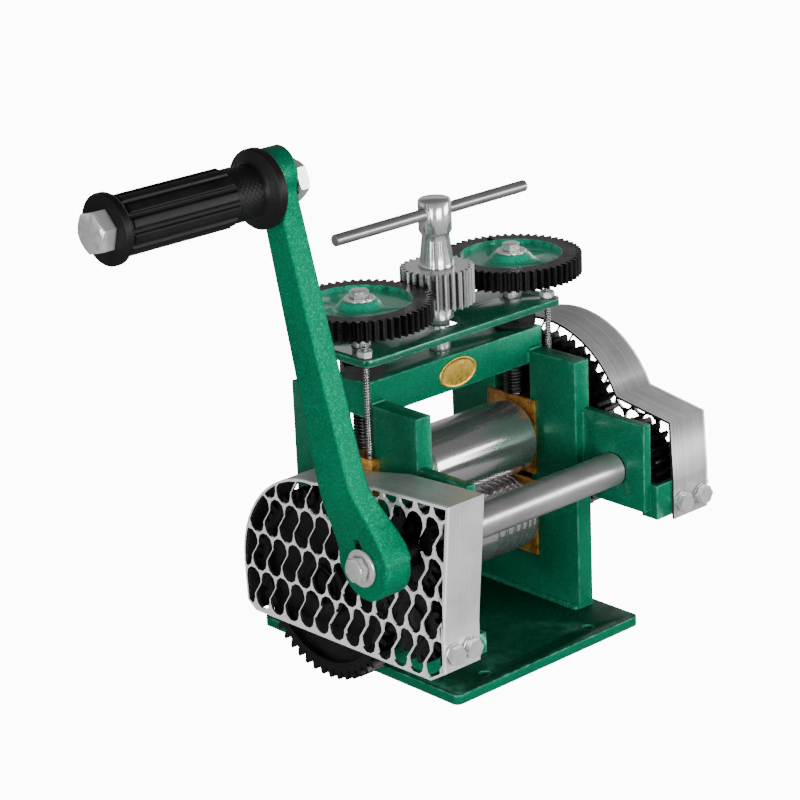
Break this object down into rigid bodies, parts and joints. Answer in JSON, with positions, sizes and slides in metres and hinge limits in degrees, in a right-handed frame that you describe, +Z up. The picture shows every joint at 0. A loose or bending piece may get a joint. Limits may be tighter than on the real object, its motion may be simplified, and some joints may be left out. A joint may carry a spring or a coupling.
{
  "type": "jewellers rolling mill",
  "caption": "Hand-cranked bench rolling mill with flat, wire and half-round rolls, geared drive and twin-screw roll adjustment.",
  "frame": {"origin": "centre of the base plate's underside, midway between the side plates", "axes": "+X along the rolls, away from the crank; +Y from the operator's side to the back; +Z up"},
  "size_m": [0.3738, 0.198, 0.3294],
  "materials": {
    "green_paint": "glossy metallic hammered green",
    "brass_plate": "satin",
    "black_steel": "blackened, oiled",
    "bronze": "milled",
    "guard_sheet": "dull grey",
    "zinc_bolts": "zinc plated",
    "turned_steel": "turned and ground",
    "polished_roll": "mirror polished",
    "black_gears": "blackened",
    "adjusting_gears": "blackened teeth, web painted green",
    "chrome": "bright",
    "black_rubber": "ribbed, semi-matt"
  },
  "bodies": {
    "frame": {"base_plate": "green_paint", "foot_welds": "green_paint", "left_side_plate": "green_paint", "right_side_plate": "green_paint", "top_beam": "green_paint", "badge": "brass_plate", "screw_nuts": "black_steel", "left_bracket": "green_paint", "right_bracket": "green_paint", "left_lower_block": "bronze", "right_lower_block": "bronze", "lower_washers": "bronze", "idler_stud": "turned_steel", "left_guard_tab": "green_paint", "right_guard_tab": "green_paint", "left_guard_rim": "guard_sheet", "left_guard_face": "guard_sheet", "right_guard_rim": "guard_sheet", "right_guard_face": "guard_sheet", "guard_bolts": "zinc_bolts"},
    "crank": {"crankshaft": "turned_steel", "left_pinion": "black_gears", "right_pinion": "black_gears", "pinion_keys": "turned_steel", "crank_arm": "green_paint", "crank_key": "turned_steel", "crank_washer": "zinc_bolts", "crank_bolt": "zinc_bolts", "grip_bolt": "zinc_bolts", "grip_washer": "zinc_bolts", "grip_nut": "zinc_bolts"},
    "grip_sleeve": {"grip": "black_rubber"},
    "idler": {"idler_gear": "black_gears"},
    "bottom_roll": {"lower_roll": "polished_roll", "lower_roll_gear": "black_gears", "lower_gear_key": "turned_steel", "lower_gear_ring": "black_steel"},
    "carriage": {"lift_plate": "green_paint", "left_upper_block": "bronze", "right_upper_block": "bronze", "lift_rods": "zinc_bolts", "rod_nuts": "zinc_bolts"},
    "left_spindle": {"left_screw": "black_steel", "left_adjust_gear": "adjusting_gears", "left_gear_washer": "zinc_bolts", "left_gear_bolt": "zinc_bolts"},
    "right_spindle": {"right_screw": "black_steel", "right_adjust_gear": "adjusting_gears", "right_gear_washer": "zinc_bolts", "right_gear_bolt": "zinc_bolts"},
    "top_washers": {"upper_washers": "bronze"},
    "top_roll": {"upper_roll": "polished_roll", "upper_roll_gear": "black_gears", "upper_gear_key": "turned_steel", "upper_gear_ring": "black_steel"},
    "adjuster": {"centre_pinion": "chrome", "tommy_bar": "chrome"}
  },
  "joints": [
    {"name": "crank_turn", "type": "hinge", "parent": "frame", "child": "crank", "pos_m": [0, -0.077, 0.102], "axis": [1, 0, 0], "continuous": true},
    {"name": "grip_spin", "type": "hinge", "parent": "crank", "child": "grip_sleeve", "pos_m": [-0.2, -0.02062, 0.3074], "axis": [1, 0, 0], "continuous": true},
    {"name": "idler_turn", "type": "hinge", "parent": "frame", "child": "idler", "pos_m": [-0.088, -0.077, 0.058], "axis": [1, 0, 0], "continuous": true},
    {"name": "bottom_roll_turn", "type": "hinge", "parent": "frame", "child": "bottom_roll", "pos_m": [0, 0, 0.058], "axis": [1, 0, 0], "continuous": true},
    {"name": "adjuster_turn", "type": "hinge", "parent": "frame", "child": "adjuster", "pos_m": [0, 0, 0.2], "axis": [0, 0, 1], "range_deg": [-1441, 1009]},
    {"name": "roll_lift", "type": "slide", "parent": "frame", "child": "carriage", "axis": [0, 0, 1], "range_m": [-0.0028, 0.004]},
    {"name": "left_screw_turn", "type": "hinge", "parent": "carriage", "child": "left_spindle", "pos_m": [-0.06075, 0, 0.2], "axis": [0, 0, 1], "range_deg": [-505, 721]},
    {"name": "right_screw_turn", "type": "hinge", "parent": "carriage", "child": "right_spindle", "pos_m": [0.06075, 0, 0.2], "axis": [0, 0, 1], "range_deg": [-505, 721]},
    {"name": "mesh_shift", "type": "hinge", "parent": "carriage", "child": "top_washers", "pos_m": [0, 0, 0.107], "axis": [1, 0, 0], "range_deg": [-2.95, 4.2]},
    {"name": "top_roll_turn", "type": "hinge", "parent": "top_washers", "child": "top_roll", "pos_m": [0, 0, 0.107], "axis": [1, 0, 0], "continuous": true}
  ],
  "couplings": [
    {"joint": "idler_turn", "follows": "crank_turn", "ratio": -1},
    {"joint": "bottom_roll_turn", "follows": "crank_turn", "ratio": 0.4},
    {"joint": "top_roll_turn", "follows": "crank_turn", "ratio": -0.4},
    {"joint": "adjuster_turn", "follows": "roll_lift", "rad_per_m": -6283.2},
    {"joint": "left_screw_turn", "follows": "roll_lift", "rad_per_m": 3141.6},
    {"joint": "right_screw_turn", "follows": "roll_lift", "rad_per_m": 3141.6},
    {"joint": "mesh_shift", "follows": "roll_lift", "rad_per_m": 18.116}
  ]
}
